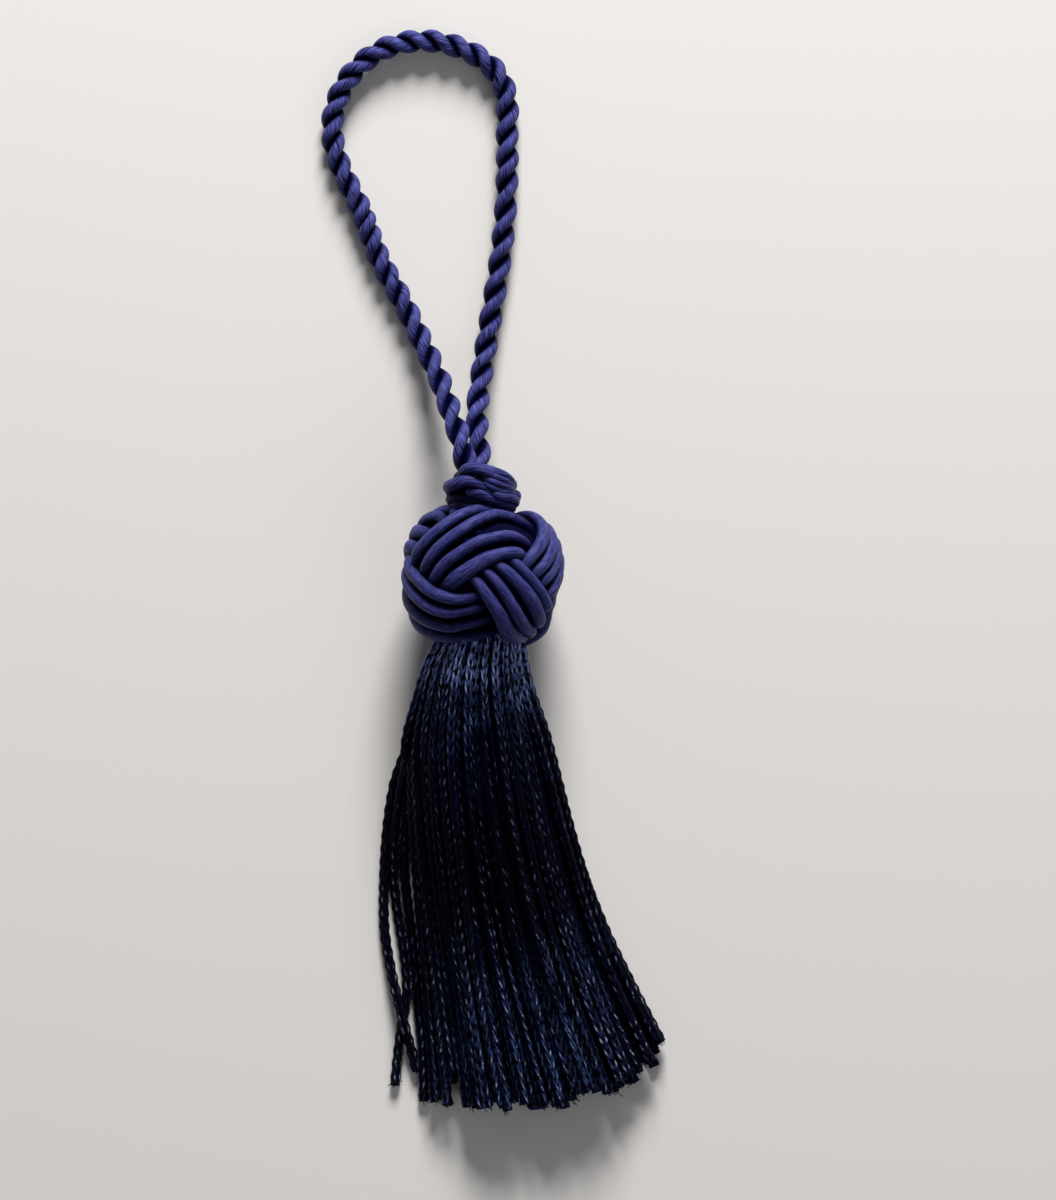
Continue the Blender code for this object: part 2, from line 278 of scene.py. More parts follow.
def link_to_shader(material, socket, output):
    tree = material.node_tree
    tree.links.new(output, tree.nodes["Principled BSDF"].inputs[socket])


# %% [markdown]
# ### Filaments
#
# Satin cord is covered in fine parallel filaments that run along it, or at a slant where it was twisted.
# They show as faint streaks and fine ridges. Noise on the UV map, squeezed across the yarn and stretched
# along it, gives both. The real filaments are about 0.02 mm apart, too fine to show, so the streaks are
# drawn seven to nine times coarser.


# %% Filament streaks
def filament_streaks(material, across_mm, along_mm, slant):
    """A value from 0 to 1 that varies quickly across the yarn and slowly along it."""
    uv = add_node(material, "UVMap", {}, uv_map="UVMap")
    round_it = add_node(material, "SeparateXYZ", {0: uv})
    along = add_node(material, "SeparateXYZ", {0: uv}, out=1)
    slanted = add_node(material, "Math", {0: along, 1: slant, 2: round_it}, operation="MULTIPLY_ADD")
    squeezed = add_node(material, "Math", {0: slanted, 1: across_mm}, operation="DIVIDE")
    stretched = add_node(material, "Math", {0: along, 1: along_mm}, operation="DIVIDE")
    place = add_node(material, "CombineXYZ", {0: squeezed, 1: stretched})
    return add_node(material, "TexNoise", {"Vector": place, "Scale": 1.0, "Detail": 2.0})


RAYON_IOR = 1.5
SATIN_GLOSS = "#b4b6f4"
GLOSS_ON_TOP, GLOSS_BETWEEN = 0.17, 0.01
STREAKS_FROM, STREAKS_TO = 0.36, 0.64
RIDGE_STRENGTH = 0.9
COLOURS = {"out": 2, "data_type": "RGBA"}
MULTIPLY = {"operation": "MULTIPLY"}


def satin_cord(name, dark, mid, light, streak, slant, roughness, bump_mm):
    """Rayon satin cord: soft broad gloss, streaks of filaments, and painted shade down between the yarns."""
    material = new_material(name, roughness, IOR=RAYON_IOR, Specular_Tint=linear(SATIN_GLOSS))
    streaks = filament_streaks(material, *streak, slant)
    contrast = add_node(material, "MapRange", {0: streaks, 1: STREAKS_FROM, 2: STREAKS_TO})
    colour_before_shade = add_node(material, "Mix", {0: contrast, 6: mid, 7: light}, **COLOURS)
    # Painted shade: the depth attribute mixes the colour towards the dark colour between the yarns, where
    # light doesn't reach.
    depth = add_node(material, "Attribute", {}, out="Fac", attribute_name="depth")
    shaded = add_node(material, "Mix", {0: depth, 6: colour_before_shade, 7: dark}, **COLOURS)
    link_to_shader(material, "Base Color", shaded)
    # The gloss fades out between the yarns with the light.
    gloss = add_node(material, "MapRange", {0: depth, 3: GLOSS_ON_TOP, 4: GLOSS_BETWEEN})
    link_to_shader(material, "Specular IOR Level", gloss)
    height = {"Height": streaks, "Distance": bump_mm * MM, "Strength": RIDGE_STRENGTH}
    ridges = add_node(material, "Bump", height)
    link_to_shader(material, "Normal", ridges)
    return material


# %% [markdown]
# ## The hanging loop
#
# The loop is one length of 2-ply cord: two soft plies of rayon, laid round each other with a Z twist, so
# they slope up to the right. Its route is the solid's own. Each ply is a sleeve that winds round the route
# at half a turn from the other. Where the two meet, shade is painted into the cord's colour, because light
# doesn't reach in.

# %% The loop's route
TWIST_COLUMNS = ("mm along", "half turns")
# The lay is looser near the knot and tightest where the left leg goes round the bend.
TWIST = [
    (0.0, -1.5), (4.6, 0), (10.8, 2), (13.8, 3), (18.9, 5), (23.6, 7), (27.8, 9), (31.0, 11),
    (65.8, 26), (70.6, 28), (72.8, 29), (75.8, 30), (81.2, 32), (86.9, 34), (92.4, 36), (98.4, 38),
    (104.0, 39.9),
]
LOOP_ROUTE_MM = [
    (-1.8, 11.7, 8.1), (-2.1, 13.2, 7.8), (-2.7, 15.1, 6.9), (-3.4, 17.1, 5.6), (-4.2, 19.4, 4.1),
    (-5.1, 21.5, 2.9), (-6.2, 23.8, 1.9), (-7.3, 26.1, 1.4), (-8.8, 29.0, 1.2), (-10.3, 31.7, 1.2),
    (-11.4, 34.5, 1.2), (-12.4, 37.2, 1.2), (-13.9, 40.2, 1.2), (-15.0, 43.3, 1.2), (-15.1, 46.5, 1.2),
    (-13.6, 50.2, 1.2), (-10.4, 53.0, 1.2), (-6.0, 54.0, 1.2), (-1.9, 53.1, 1.2), (1.0, 51.2, 1.2),
    (2.3, 48.6, 1.2), (2.4, 44.6, 1.2), (2.4, 40.5, 1.2), (2.2, 36.5, 1.2), (1.8, 32.6, 1.2),
    (1.2, 28.8, 1.2), (0.6, 25.2, 1.3), (0.1, 22.0, 1.7), (-0.3, 19.2, 2.6), (-0.6, 16.6, 4.0),
    (-0.5, 14.0, 5.4), (-0.3, 11.7, 6.0),
]
INTO_KNOT_MM = ((-1.5, 10.3, 8.0), (-0.3, 10.2, 6.6))
RING_SPACING = 0.2 * MM
loop_line = smooth_route([INTO_KNOT_MM[0], *LOOP_ROUTE_MM, INTO_KNOT_MM[1]], RING_SPACING)

# %% The cord's two plies
PLY_OFF_AXIS = 0.585 * MM
PLY_WIDE = 0.61 * MM
PLY_HIGH = 0.60 * MM
PLY_SIDES = 16
# Painted shade: the cord is painted wholly dark within 0.71 of its radius and left wholly lit beyond 0.95 of
# it.
GROOVE_DARKNESS, GROOVE_FADE = 3.9, 4.1

rope_rayon = satin_cord(
    "twisted_rayon_cord", "#060628", "#070828", "#5356a0", streak=(0.14, 1.2), slant=-1.6,
    roughness=0.45, bump_mm=0.12,
)


def plied_cord(line, plies, half_turns, off_axis, wide, high, sides):
    """Plies wound round a line. At a whole number of half turns a groove between two plies is on top."""
    ahead = tangents(line)
    up = unit(UPWARD - ahead[:, 2:] * ahead)
    side = np.cross(ahead, up)
    sleeve = make_sleeve(len(line) - 1, sides)
    yarns = []
    for ply in range(plies):
        turn = TURN * (half_turns / 2 + 0.25 + ply / plies)[:, None]
        outward = np.cos(turn) * up + np.sin(turn) * side
        centre = line + off_axis * outward
        points = place_on(sleeve, centre, outward, wide, high)
        # Painted shade, darker the nearer a point lies to the cord's middle line.
        off_line = np.linalg.norm(points - line[sleeve["ring"]], axis=1)
        depth = np.clip(GROOVE_DARKNESS - GROOVE_FADE * off_line / (off_axis + high), 0, 1)
        yarns.append(make_yarn(sleeve, points, centre, wide, high, depth=depth))
    return yarns


twist = columns(TWIST, TWIST_COLUMNS)
half_turns = np.interp(along_line(loop_line) / MM, twist["mm along"], twist["half turns"])
loop = piece_of_sleeves(
    "loop_cord",
    plied_cord(loop_line, 2, half_turns, PLY_OFF_AXIS, PLY_WIDE, PLY_HIGH, PLY_SIDES),
    rope_rayon,
)
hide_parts("hanging_loop")

# %% [markdown]
# ## The woven head
#
# The head is a Turk's head knot of 3 leads by 4 bights, followed round with a cord 4 times and drawn up on
# a ball. On a sphere its band swings between two latitudes, 4 times while it goes round 3 times. A knot
# drawn up by hand is uneven, so the route leans, is sheared, and sags. Where cords cross, one is raised
# and the other pressed down, and the heights in between are eased, as a tight cord lies.

# %% Sizes of the head
HEAD_CENTRE = np.array([0, 0, 7.2]) * MM
HEAD_HALF = np.array([8.2, 7.5, 7.6]) * MM
UNDERSIDE_PRESSED = 0.94
HEAD_SQUARENESS = 2.6
OVER_DEPTH = 0.60 * MM
# A dent lies towards x and y from the centre. One with a negative depth is a bulge.
DENT_COLUMNS = ("x", "y", "depth", "reach")
DENTS = [(0.93, -0.37, 0.10, 0.05), (-0.53, 0.85, -0.02, 0.06)]
LEADS, BIGHTS, PASSES = 3, 4, 4
PASS_SPACING = 1.7 * MM
STEEP_SPREAD = 0.7 * MM
FRONT_BIGHT = math.radians(11.5)
BIGHT_LATITUDE = math.radians(43.5)
WEAVE_LEAN = 0.24
WEAVE_SHEAR = 0.22
WEAVE_PULL = 0.33
WEAVE_SAG = -0.33
FRONT_GAP = 0.8 * MM
FRONT_GAP_AT = 0.07
FRONT_GAP_REACH = 0.31
WEAVE_STEPS = 560
print("head in mm:", np.round(2 * HEAD_HALF / MM, 1).tolist())

# %% Where the head's cords are seen
PLACE_COLUMNS = ("turn in degrees", "x in mm", "y in mm", "half width in mm")
# Each cord's places in four stretches: across the top, across the lower left, slanting down to the
# right, and the ends that show at the upper right and the upper left.
FRONT_PLACES = [
    [
        (-18, -3.7, -1.0, 0.84), (-15, -2.7, -0.25, 0.88), (-12, -1.2, 0.75, 0.76), (-3, 2.7, 2.4, 0.6),
        (0, 3.8, 2.3, 0.56), (3, 4.5, 1.8, 0.52),
        (212, -5.4, -5.5, 0.64), (219, -3.0, -6.2, 0.62), (223, -1.5, -6.0, 0.6), (230, 0.4, -5.5, 0.6),
        (109, -0.2, -0.5, 0.55), (112, 0.75, -2.2, 0.62), (114, 1.4, -3.6, 0.76), (118, 2.2, -5.2, 0.88),
        (123, 3.3, -6.5, 0.88), (127, 4.5, -6.8, 0.78), (131, 5.2, -6.5, 0.6),
        (254, 6.6, -1.2, 0.55), (257, 7.4, -0.3, 0.55), (84, -7.5, 2.9, 0.74), (90, -6.5, 2.8, 0.7),
    ],
    [
        (-21, -4.8, -0.3, 0.62), (-18, -3.9, 1.3, 0.62), (-13, -1.9, 2.6, 0.58), (-4, 2.1, 4.0, 0.54),
        (2, 4.0, 3.7, 0.54), (6, 5.1, 2.8, 0.5),
        (213, -6.2, -3.5, 0.64), (219, -4.0, -4.7, 0.55), (227, -1.0, -4.5, 0.52), (231, 0.4, -4.1, 0.52),
        (112, 0.8, 0.4, 0.52), (114, 1.5, -0.7, 0.55), (117, 2.4, -2.1, 0.6), (120, 3.15, -3.6, 0.66),
        (124, 3.95, -4.8, 0.68), (129, 5.0, -5.6, 0.6),
        (249, 6.0, -0.4, 0.52), (254, 7.2, 1.0, 0.55), (82, -6.9, 4.25, 0.76), (90, -5.7, 4.2, 0.74),
    ],
    [
        (-24, -5.8, 0.8, 0.64), (-18, -3.9, 3.2, 0.64), (-14, -1.9, 4.3, 0.62), (-8, 0.1, 5.4, 0.6),
        (1, 2.1, 6.0, 0.6), (8, 4.1, 5.35, 0.7), (12, 5.2, 4.3, 0.66),
        (214, -6.2, -1.8, 0.66), (220, -4.2, -3.3, 0.56), (227, -1.5, -3.4, 0.51), (230, 0.0, -3.1, 0.51),
        (115, 2.0, 0.9, 0.6), (118, 3.4, -0.35, 0.66), (123, 4.7, -2.1, 0.78), (126, 5.4, -3.4, 0.8),
        (129, 5.9, -4.4, 0.74),
        (246, 5.4, 0.7, 0.6), (249, 6.4, 1.5, 0.68), (253, 7.0, 2.9, 0.7), (80, -5.9, 5.45, 0.78),
        (86, -4.6, 5.5, 0.78),
    ],
    [
        (-25, -6.0, 2.9, 0.7), (-17, -2.9, 5.3, 0.66), (-10, -0.9, 6.2, 0.6), (3, 1.6, 6.9, 0.56),
        (10, 3.7, 6.6, 0.54), (14, 5.0, 5.7, 0.52),
        (210, -6.75, 1.1, 0.76), (216, -5.75, -0.6, 0.72), (220, -4.6, -1.7, 0.64), (227, -1.5, -2.25, 0.56),
        (119, 3.2, 1.3, 0.54), (121, 4.2, 0.5, 0.55), (124, 5.2, -0.6, 0.56), (128, 6.1, -1.9, 0.6),
        (132, 6.4, -2.9, 0.62),
        (243, 4.6, 1.8, 0.62), (248, 6.0, 3.6, 0.72), (252, 6.3, 4.8, 0.7), (77, -4.6, 6.6, 0.86),
        (84, -3.2, 6.75, 0.9),
    ],
]
PLACE_REACH = 3.0
PLAIN_SHARE = 0.06
print("places seen at the front, cord by cord:", [len(places) for places in FRONT_PLACES])


# %% The head's routes
def plain_directions(turn, number):
    """Unit directions along one of the cords laid side by side, before it is pulled to its listed places."""
    longitude = LEADS * turn + FRONT_BIGHT
    beside = number - (PASSES - 1) / 2
    spread = beside * (PASS_SPACING + STEEP_SPREAD * np.sin(BIGHTS * turn) ** 2)
    from_gap = (turn - FRONT_GAP_AT + math.pi) % TURN - math.pi
    gap = FRONT_GAP * np.exp(-((from_gap / FRONT_GAP_REACH) ** 2)) * math.copysign(1, beside)
    latitude = BIGHT_LATITUDE * np.cos(BIGHTS * turn) + (spread + gap) / HEAD_HALF[1]
    pulled = longitude + WEAVE_SHEAR * latitude + WEAVE_PULL * np.cos(longitude)
    latitude = latitude + WEAVE_SAG * np.sin(longitude)
    level = np.cos(latitude)
    plain = np.stack([level * np.sin(pulled), np.sin(latitude), level * np.cos(pulled)], axis=1)
    cos, sin = math.cos(WEAVE_LEAN), math.sin(WEAVE_LEAN)
    return plain @ np.array([[cos, sin, 0], [-sin, cos, 0], [0, 0, 1]])


def ball_reach(direction):
    """From the centre of the squarish ball to its surface, along unit directions."""
    across = np.hypot(direction[:, 0], direction[:, 2])
    share = (across**HEAD_SQUARENESS + np.abs(direction[:, 1]) ** HEAD_SQUARENESS) ** (-1 / HEAD_SQUARENESS)
    for row in DENTS:
        dent = dict(zip(DENT_COLUMNS, row))
        away = (1 - direction @ unit(np.array([dent["x"], dent["y"], 0]))) / dent["reach"]
        share = share * (1 - dent["depth"] * np.exp(-(away**2)))
    reach = share[:, None] * direction * HEAD_HALF
    # The head rests on its underside, which is pressed a little flatter.
    reach[:, 2] *= np.where(reach[:, 2] < 0, UNDERSIDE_PRESSED, 1.0)
    return reach


def front_places(turn, number):
    """The share that each place has in the cord at each turn, and that cord's places."""
    places = columns(FRONT_PLACES[number], PLACE_COLUMNS)
    away = (np.degrees(turn)[:, None] - places["turn in degrees"] + 180) % 360 - 180
    weight = np.exp(-((away / PLACE_REACH) ** 2))
    return weight / (weight.sum(axis=1, keepdims=True) + PLAIN_SHARE), places


def cord_directions(turn, number):
    """The plain route, pulled to the places where the cord is seen at the front."""
    share, places = front_places(turn, number)
    plain = ball_reach(plain_directions(np.radians(places["turn in degrees"]), number))
    at_places = plain * (1 - OVER_DEPTH / HEAD_HALF)
    missing = np.stack([places["x in mm"], places["y in mm"]], axis=1) * MM - at_places[:, :2]
    pull = np.zeros((len(turn), 3))
    pull[:, :2] = share @ missing
    return unit(plain_directions(turn, number) + pull / HEAD_HALF)


# %% Over and under
HEAD_CORD_WIDE = 0.64 * MM
HEAD_CORD_HIGH = 0.60 * MM
UNDER_DEPTH = 1.65 * MM
CROSSING_REACH = 1.0 * MM
EASING = 10.0
EASING_ROUNDS = 400
SAME_STRETCH = 18
LATE_DIVE = 1.8

weave_turn = np.linspace(0, TURN, WEAVE_STEPS, endpoint=False)
weave = np.stack([cord_directions(weave_turn, number) for number in range(PASSES)])


def plain_crossings():
    """The turns at which the plain knot crosses itself, in pairs, in degrees."""
    pairs = []
    for lead in range(2 * LEADS):
        for bight in range(2 * BIGHTS):
            first = (180 // LEADS * lead + 180 // BIGHTS * bight) % 360
            if first % (180 // BIGHTS):
                pairs.append((first, (360 // BIGHTS * bight - first) % 360))
    return np.array(sorted(set(pairs)))


def is_over(first, second):
    """Of two cords that cross, at turns in degrees: whether the first is on top, by the plain knot's rule."""
    pairs = plain_crossings()
    apart = (np.stack([first, second], axis=1)[:, None, :] - pairs[None] + 180) % 360 - 180
    nearest = pairs[np.abs(apart).sum(axis=2).argmin(axis=1)][:, 0]
    return -np.sin(np.radians(2 * BIGHTS * nearest)) > 0


def cord_depths():
    """How far below the ball's surface each cord's middle lies, at each step."""
    flat = weave.reshape(-1, 3)
    apart = np.arccos(np.clip(flat @ flat.T, -1, 1)) * HEAD_HALF[2]
    turn = np.degrees(np.tile(weave_turn, PASSES))
    between = np.abs((turn[:, None] - turn[None, :] + 180) % 360 - 180)
    first, second = np.nonzero((apart < CROSSING_REACH) & (between > SAME_STRETCH))
    vote = np.zeros(len(turn))
    np.add.at(vote, first, np.where(is_over(turn[first], turn[second]), 1, -1))
    held = (vote != 0).reshape(PASSES, -1)
    wanted = np.where(vote > 0, OVER_DEPTH, UNDER_DEPTH).reshape(PASSES, -1)
    depth = np.where(held, wanted, (OVER_DEPTH + UNDER_DEPTH) / 2)
    for _ in range(EASING_ROUNDS):
        eased = (np.roll(depth, 1, axis=1) + np.roll(depth, -1, axis=1)) / 2
        depth = np.where(held, (wanted + EASING * eased) / (1 + EASING), eased)
    # A cord stays high until just before it dives.
    sunk = np.clip((depth - OVER_DEPTH) / (UNDER_DEPTH - OVER_DEPTH), 0, 1)
    depth = OVER_DEPTH + (UNDER_DEPTH - OVER_DEPTH) * sunk**LATE_DIVE
    print("share that crosses:", round(float(held.mean()), 2), "crossings:", len(plain_crossings()) // 2)
    return depth


weave_depth = cord_depths()

# %% The head's cords
HEAD_CORD_SIDES = 14
# In mm below the ball's surface: where the painted shade starts, and how much deeper it is whole.
DARK_FROM, DARK_WITHIN = 0.18, 0.75
head_satin = satin_cord(
    "woven_satin_cord", "#040422", "#212354", "#3f417b", streak=(0.16, 0.8), slant=0.0,
    roughness=0.50, bump_mm=0.03,
)


def woven_cord(sleeve, number):
    reach = ball_reach(weave[number])
    outward = unit(reach / HEAD_HALF**2)
    line = HEAD_CENTRE + reach - outward * weave_depth[number][:, None]
    share, places = front_places(weave_turn, number)
    wide = HEAD_CORD_WIDE + share @ (places["half width in mm"] * MM - HEAD_CORD_WIDE)
    points = place_on(sleeve, line, outward, wide, HEAD_CORD_HIGH, is_ring=True)
    # Painted shade: the colour darkens with how far below the ball's surface a point of the cord lies.
    sunk = weave_depth[number][sleeve["ring"]] + HEAD_CORD_HIGH * np.cos(TURN * sleeve["round"])
    depth = np.clip((sunk / MM - DARK_FROM) / DARK_WITHIN, 0, 1)
    return make_yarn(sleeve, points, line, HEAD_CORD_WIDE, HEAD_CORD_HIGH, depth=depth)


head_sleeve = make_sleeve(WEAVE_STEPS, HEAD_CORD_SIDES, is_ring=True)
head = piece_of_sleeves(
    "turks_head_cords",
    [woven_cord(head_sleeve, number) for number in range(PASSES)],
    head_satin,
)
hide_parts("turks_head")

# %% [markdown]
# Under the cords is the ball that the knot is drawn up on. It shows only as darkness between the cords, so
# it is a plain squarish ball a little smaller than the knot, of yarn coloured near black as painted shade.
# An icosphere is pushed out to shape point by point, which leaves no pole to pinch. The neck knot gets a
# ball of this kind too.

# %% The ball under the knot
CORE_SHARE = 0.83
SPECKLES_A_METRE = 4000.0

core_yarn = new_material("core_yarn", 0.9, IOR=RAYON_IOR, Specular_IOR_Level=0.05)


def dress_core():
    """Dull yarn, coloured near black as painted shade, packed tight, with specks a quarter of a millimetre
    apart.
    """
    place = add_node(core_yarn, "TexCoord", {}, out="Object")
    speckle = add_node(core_yarn, "TexNoise", {"Vector": place, "Scale": SPECKLES_A_METRE})
    yarn = add_node(core_yarn, "Mix", {0: speckle, 6: "#010118", 7: "#030324"}, **COLOURS)
    link_to_shader(core_yarn, "Base Color", yarn)


def make_core(name, subdivisions, place_of):
    """A ball whose points go where place_of puts each of their directions from its middle."""
    bm = bmesh.new()
    bmesh.ops.create_icosphere(bm, subdivisions=subdivisions, radius=1.0)
    directions = np.array([vert.co.normalized() for vert in bm.verts])
    for vert, place in zip(bm.verts, place_of(directions)):
        vert.co = place
    mesh = mesh_from(bm, name)
    mesh.shade_smooth()
    mesh.materials.append(core_yarn)
    core = add_object(name, mesh)
    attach(core, "root")
    print(name, "triangles:", len(mesh.polygons))
    return core


dress_core()
head_core = make_core("head_core", 5, lambda directions: HEAD_CENTRE + ball_reach(directions) * CORE_SHARE)
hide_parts("turks_head")

# %% [markdown]
# ## The neck knot
#
# The doubled cord is tied in a small hard knot above the head. A real knot is one line, but only its
# outer wraps are seen. Each wrap is a sleeve of its own, laid over or under its neighbours, and thick where
# the yarn bulges. The ends of each wrap dive into the knot.

# %% Neck wraps
WRAP_COLUMNS = ("x", "y", "z", "wide", "high")
NECK_WRAPS = {
    "over_the_top": [
        (-1.9, 9.7, 6.8, 0.55, 0.5), (-2.0, 10.2, 8.2, 0.6, 0.6), (-1.5, 10.7, 9.4, 0.62, 0.65),
        (-0.8, 10.8, 10.1, 0.62, 0.65), (0.0, 10.6, 10.4, 0.6, 0.6), (0.8, 10.15, 10.2, 0.5, 0.5),
        (1.5, 9.8, 9.7, 0.4, 0.4),
    ],
    "fan_outer": [
        (-0.6, 10.8, 8.8, 0.45, 0.5), (0.3, 10.75, 9.4, 0.48, 0.5), (1.2, 10.45, 9.6, 0.46, 0.5),
        (2.0, 10.15, 9.2, 0.46, 0.5), (2.6, 9.7, 8.5, 0.46, 0.5), (2.85, 9.2, 7.4, 0.46, 0.5),
        (2.8, 8.8, 6.2, 0.45, 0.5),
    ],
    "fan_second": [
        (-0.2, 10.3, 9.7, 0.36, 0.4), (0.7, 10.1, 10.2, 0.38, 0.4), (1.6, 9.8, 10.0, 0.38, 0.4),
        (2.3, 9.45, 9.3, 0.4, 0.4), (2.75, 9.1, 8.3, 0.4, 0.4), (2.85, 8.7, 7.0, 0.4, 0.4),
    ],
    "fan_third": [
        (-0.2, 9.9, 9.9, 0.34, 0.4), (0.7, 9.55, 10.3, 0.36, 0.4), (1.5, 9.25, 10.2, 0.36, 0.4),
        (2.2, 8.95, 9.6, 0.38, 0.4), (2.75, 8.7, 8.7, 0.38, 0.4), (2.95, 8.4, 7.4, 0.38, 0.4),
    ],
    "fan_inner": [
        (-0.2, 9.6, 9.8, 0.36, 0.4), (0.6, 9.1, 10.2, 0.38, 0.4), (1.3, 8.75, 10.1, 0.38, 0.4),
        (2.1, 8.5, 9.6, 0.38, 0.4), (2.8, 8.3, 8.7, 0.38, 0.4), (3.0, 8.1, 7.4, 0.38, 0.4),
    ],
    "right_lobe": [
        (0.6, 8.7, 9.6, 0.42, 0.4), (1.4, 8.2, 10.0, 0.46, 0.45), (2.2, 7.95, 9.7, 0.5, 0.5),
        (2.9, 7.75, 9.0, 0.52, 0.5), (3.2, 7.5, 8.0, 0.5, 0.5), (3.1, 7.2, 6.9, 0.45, 0.45),
    ],
    "left_lobe": [
        (-2.9, 8.8, 5.8, 0.55, 0.5), (-3.45, 8.95, 7.2, 0.62, 0.55), (-3.1, 9.1, 8.6, 0.66, 0.6),
        (-2.3, 9.4, 9.5, 0.66, 0.62), (-1.4, 9.55, 9.9, 0.62, 0.6), (-0.5, 9.3, 10.0, 0.52, 0.5),
        (0.4, 8.8, 9.9, 0.46, 0.45), (1.3, 8.3, 9.6, 0.42, 0.4),
    ],
    "middle": [
        (-1.6, 8.3, 8.4, 0.4, 0.4), (-1.0, 8.5, 9.4, 0.54, 0.5), (-0.3, 8.3, 9.9, 0.6, 0.5),
        (0.6, 7.9, 9.8, 0.56, 0.5), (1.5, 7.5, 9.4, 0.52, 0.5), (2.4, 7.25, 8.8, 0.48, 0.45),
        (3.1, 7.0, 7.7, 0.46, 0.45),
    ],
    "lower": [
        (-3.0, 7.6, 5.6, 0.5, 0.5), (-3.25, 7.7, 6.6, 0.55, 0.5), (-2.9, 7.8, 7.6, 0.55, 0.5),
        (-2.1, 7.9, 8.3, 0.52, 0.5), (-1.2, 7.8, 8.7, 0.5, 0.5), (-0.4, 7.5, 8.9, 0.5, 0.5),
        (0.5, 7.2, 9.2, 0.5, 0.5), (1.6, 6.9, 8.8, 0.5, 0.45),
    ],
    "bottom": [
        (-3.0, 7.0, 6.8, 0.5, 0.5), (-2.4, 7.1, 8.2, 0.55, 0.5), (-1.2, 7.1, 8.8, 0.55, 0.5),
        (0.6, 6.8, 8.7, 0.55, 0.5), (2.2, 6.8, 8.3, 0.55, 0.5), (3.2, 6.9, 7.0, 0.5, 0.5),
    ],
    "back_upper": [
        (-2.3, 9.9, 7.6, 0.6, 0.5), (-2.4, 9.9, 6.0, 0.75, 0.55), (-1.2, 9.8, 4.9, 0.8, 0.6),
        (0.8, 9.6, 4.8, 0.8, 0.6), (2.4, 9.3, 5.6, 0.75, 0.6), (2.9, 9.2, 7.0, 0.7, 0.55),
        (2.6, 9.3, 8.2, 0.6, 0.5),
    ],
    "back_lower": [
        (-3.2, 8.4, 7.6, 0.6, 0.5), (-3.1, 8.5, 6.0, 0.75, 0.55), (-1.5, 8.4, 4.7, 0.8, 0.6),
        (0.8, 8.2, 4.6, 0.8, 0.6), (2.8, 8.0, 5.4, 0.75, 0.6), (3.3, 8.0, 6.8, 0.7, 0.55),
        (3.0, 8.2, 8.0, 0.6, 0.5),
    ],
    "back_bottom": [
        (-2.9, 7.2, 7.0, 0.5, 0.5), (-2.4, 7.2, 5.7, 0.6, 0.5), (-0.8, 7.2, 5.0, 0.6, 0.5),
        (1.2, 7.1, 5.1, 0.6, 0.5), (2.6, 7.1, 6.0, 0.6, 0.5), (3.0, 7.0, 7.2, 0.5, 0.5),
    ],
}
NECK_MIDDLE = np.array([-0.15, 9.0, 7.2]) * MM

# %% The neck knot's wraps
WRAP_SIDES = 14
RINGS_TO_CLOSE = 3
CLOSED_TO = 0.05
# Painted shade on the wraps' flanks, and a painted shadow over the wraps that lie in the shade of others.
WRAP_DARKNESS = 0.8
WRAP_DARK_WITHIN = 0.58 * MM
WRAPS_IN_PAINTED_SHADOW = {"lower": 0.45, "bottom": 0.30}

neck_rayon = satin_cord(
    "knotted_rayon_cord", "#02021a", "#0b0c2c", "#444688", streak=(0.18, 1.8), slant=-0.35,
    roughness=0.48, bump_mm=0.08,
)


def neck_wrap(name, rows):
    wrap = columns(rows, WRAP_COLUMNS)
    line = smooth_route(np.stack([wrap[axis] for axis in "xyz"], axis=1), RING_SPACING)
    given = np.linspace(0, 1, len(rows))
    share = np.linspace(0, 1, len(line))
    wide, high = (np.interp(share, given, wrap[size]) * MM for size in ("wide", "high"))
    # The last few rings draw in, so that a wrap ends round.
    close = np.clip(np.minimum(share, 1 - share) * len(line) / RINGS_TO_CLOSE, CLOSED_TO, 1) ** 0.5
    outward = unit(line - NECK_MIDDLE)
    sleeve = make_sleeve(len(line) - 1, WRAP_SIDES)
    points = place_on(sleeve, line, outward, wide * close, high * close)
    # Painted shade: darker towards the knot's middle, and darker still on the wraps in painted shadow.
    line_off = np.linalg.norm(line - NECK_MIDDLE, axis=1)[sleeve["ring"]]
    off = np.linalg.norm(points - NECK_MIDDLE, axis=1) - line_off
    depth = np.clip(WRAP_DARKNESS + WRAPS_IN_PAINTED_SHADOW.get(name, 0) - off / WRAP_DARK_WITHIN, 0, 1)
    return make_yarn(sleeve, points, line, wide.mean(), high.mean(), depth=depth)


neck = piece_of_sleeves(
    "neck_wraps", [neck_wrap(name, rows) for name, rows in NECK_WRAPS.items()], neck_rayon
)
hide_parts("neck_knot")

# %% The ball under the wraps
NECK_CORE_HALF = np.array([2.9, 2.0, 2.1]) * MM

neck_core = make_core("neck_core", 4, lambda directions: NECK_MIDDLE + directions * NECK_CORE_HALF)
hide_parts("neck_knot")

# %% [markdown]
# ## The skirt
#
# Chainette is a chain stitch with no cloth: each strand is a row of loops, each pulled through the last,
# so it shows V-shaped pairs of lobes about 1.3 mm apart. To model each loop would take thousands of faces a
# strand. Here a strand is a sleeve whose rings swell and shrink as the lobes do, and the material draws the
# two legs of each stitch from the place round and along the strand, as bump and as paler yarn.

# %% Chain stitch
STITCH = 1.32 * MM
STRAND_WIDE = 0.50 * MM
STRAND_HIGH = 0.42 * MM
RINGS_PER_STITCH = 5
STRAND_SIDES = 12
LEG_LENGTH = 1.7
LEG_FROM, LEG_TO = 0.36, 0.06
LEG_WIDTH = 0.12


